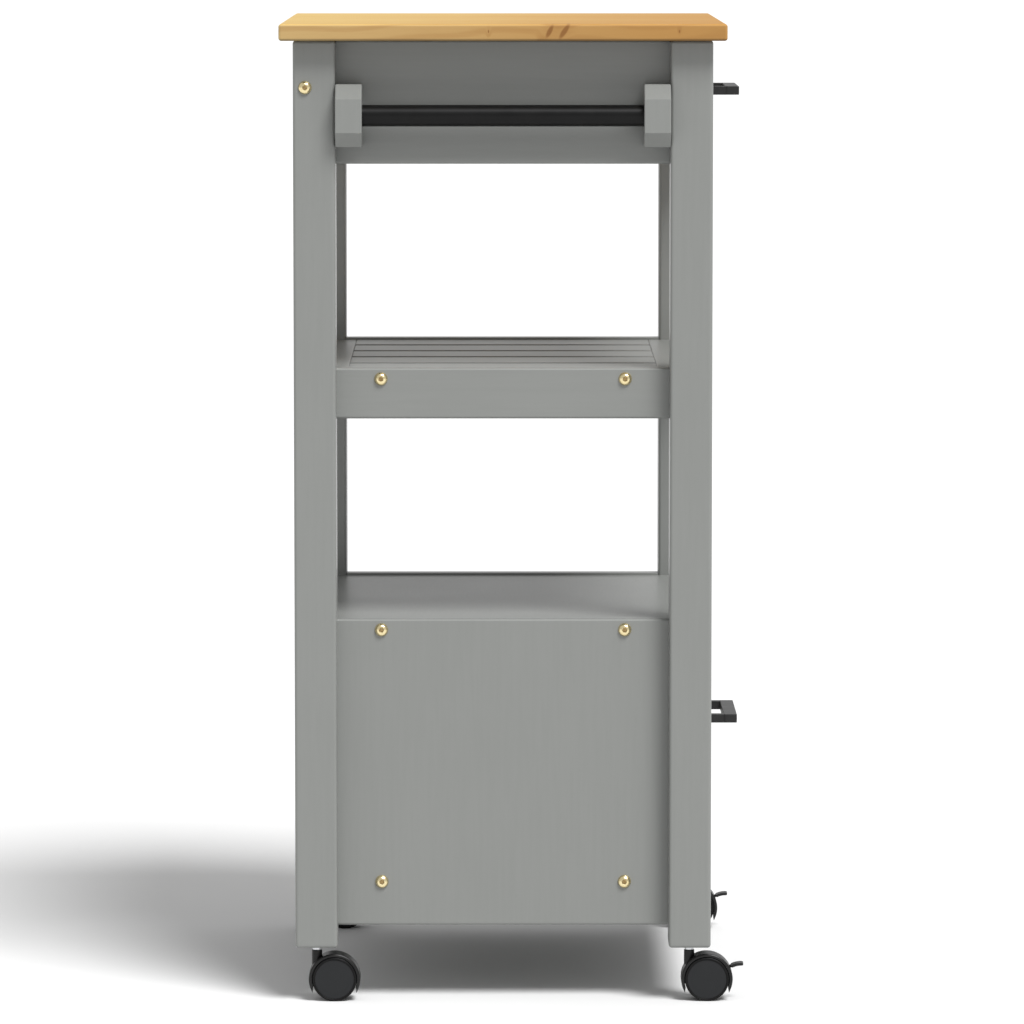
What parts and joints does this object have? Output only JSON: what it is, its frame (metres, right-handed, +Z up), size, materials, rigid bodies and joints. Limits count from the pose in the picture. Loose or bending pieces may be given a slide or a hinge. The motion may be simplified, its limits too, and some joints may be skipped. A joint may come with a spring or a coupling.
{
  "type": "kitchen island cart",
  "caption": "Rolling wooden kitchen cart with a pine top, an open slatted shelf, drawers, a towel rail on its end and swivel casters.",
  "frame": {"origin": "on the floor, in the middle of the outer box in plan", "axes": "+Z up, front faces -Y, the towel rail is on the -X end"},
  "size_m": [0.48, 0.418, 0.885],
  "materials": {
    "painted_wood": "grey satin paint on pine",
    "pine": "clear wax on solid pine",
    "bare_wood": "planed, unfinished",
    "black_metal": "black powder coat",
    "brass": "brass plated",
    "bright_steel": "zinc plated",
    "runner_steel": "zinc plated sheet",
    "black_plastic": "moulded, satin",
    "wheel_plastic": "moulded, matt"
  },
  "bodies": {
    "frame": {"barrel_nuts": "bright_steel", "cabinet_back": "painted_wood", "cabinet_base": "painted_wood", "cabinet_side_left": "painted_wood", "cabinet_side_right": "painted_wood", "cabinet_top": "painted_wood", "caster_sockets": "bright_steel", "caster_stems": "bright_steel", "frame_bolts": "brass", "frame_dowels": "bare_wood", "front_rail": "painted_wood", "leg_front_left": "painted_wood", "leg_front_right": "painted_wood", "leg_rear_left": "painted_wood", "leg_rear_right": "painted_wood", "plinth_rail": "painted_wood", "rear_apron": "painted_wood", "runner_screws": "bright_steel", "runner_tracks": "runner_steel", "shelf_board_front": "painted_wood", "shelf_board_rear": "painted_wood", "shelf_rail_left": "painted_wood", "shelf_rail_right": "painted_wood", "shelf_slats": "painted_wood", "side_apron_left": "painted_wood", "side_apron_right": "painted_wood", "towel_bar": "black_metal", "towel_bracket_front": "painted_wood", "towel_bracket_rear": "painted_wood", "wood_screws": "bright_steel", "worktop": "pine", "worktop_cleats": "painted_wood"},
    "upper_drawer": {"upper_drawer_back": "bare_wood", "upper_drawer_bottom": "bare_wood", "upper_drawer_front": "painted_wood", "upper_drawer_handle": "black_metal", "upper_drawer_screws": "bright_steel", "upper_drawer_sides": "bare_wood", "upper_drawer_slides": "runner_steel"},
    "lower_drawer": {"lower_drawer_back": "bare_wood", "lower_drawer_bottom": "bare_wood", "lower_drawer_front": "painted_wood", "lower_drawer_handle": "black_metal", "lower_drawer_screws": "bright_steel", "lower_drawer_sides": "bare_wood", "lower_drawer_slides": "runner_steel"},
    "caster_front_left": {"hood_front_left": "black_plastic"},
    "wheel_pair_front_left": {"wheels_front_left": "wheel_plastic", "axle_front_left": "bright_steel"},
    "caster_front_right": {"hood_front_right": "black_plastic"},
    "wheel_pair_front_right": {"wheels_front_right": "wheel_plastic", "axle_front_right": "bright_steel"},
    "caster_rear_left": {"hood_rear_left": "black_plastic"},
    "wheel_pair_rear_left": {"wheels_rear_left": "wheel_plastic", "axle_rear_left": "bright_steel"},
    "caster_rear_right": {"hood_rear_right": "black_plastic"},
    "wheel_pair_rear_right": {"wheels_rear_right": "wheel_plastic", "axle_rear_right": "bright_steel"},
    "brake_left": {"brake_lever_front_left": "black_plastic"},
    "brake_right": {"brake_lever_front_right": "black_plastic"}
  },
  "joints": [
    {"name": "upper_drawer_slide", "type": "slide", "parent": "frame", "child": "upper_drawer", "axis": [0, -1, 0], "range_m": [0, 0.22]},
    {"name": "lower_drawer_slide", "type": "slide", "parent": "frame", "child": "lower_drawer", "axis": [0, -1, 0], "range_m": [0, 0.22]},
    {"name": "swivel_front_left", "type": "hinge", "parent": "frame", "child": "caster_front_left", "pos_m": [-0.202, -0.16, 0.046], "axis": [0, 0, 1], "continuous": true},
    {"name": "roll_front_left", "type": "hinge", "parent": "caster_front_left", "child": "wheel_pair_front_left", "pos_m": [-0.202, -0.176, 0.02], "axis": [1, 0, 0], "continuous": true},
    {"name": "swivel_front_right", "type": "hinge", "parent": "frame", "child": "caster_front_right", "pos_m": [0.202, -0.16, 0.046], "axis": [0, 0, 1], "continuous": true},
    {"name": "roll_front_right", "type": "hinge", "parent": "caster_front_right", "child": "wheel_pair_front_right", "pos_m": [0.202, -0.176, 0.02], "axis": [1, 0, 0], "continuous": true},
    {"name": "swivel_rear_left", "type": "hinge", "parent": "frame", "child": "caster_rear_left", "pos_m": [-0.202, 0.178, 0.046], "axis": [0, 0, 1], "continuous": true},
    {"name": "roll_rear_left", "type": "hinge", "parent": "caster_rear_left", "child": "wheel_pair_rear_left", "pos_m": [-0.202, 0.162, 0.02], "axis": [1, 0, 0], "continuous": true},
    {"name": "swivel_rear_right", "type": "hinge", "parent": "frame", "child": "caster_rear_right", "pos_m": [0.202, 0.178, 0.046], "axis": [0, 0, 1], "continuous": true},
    {"name": "roll_rear_right", "type": "hinge", "parent": "caster_rear_right", "child": "wheel_pair_rear_right", "pos_m": [0.202, 0.162, 0.02], "axis": [1, 0, 0], "continuous": true},
    {"name": "brake_left_press", "type": "hinge", "parent": "caster_front_left", "child": "brake_left", "pos_m": [-0.202, -0.1905, 0.0275], "axis": [1, 0, 0], "range_deg": [0, 12]},
    {"name": "brake_right_press", "type": "hinge", "parent": "caster_front_right", "child": "brake_right", "pos_m": [0.202, -0.1905, 0.0275], "axis": [1, 0, 0], "range_deg": [0, 12]}
  ]
}
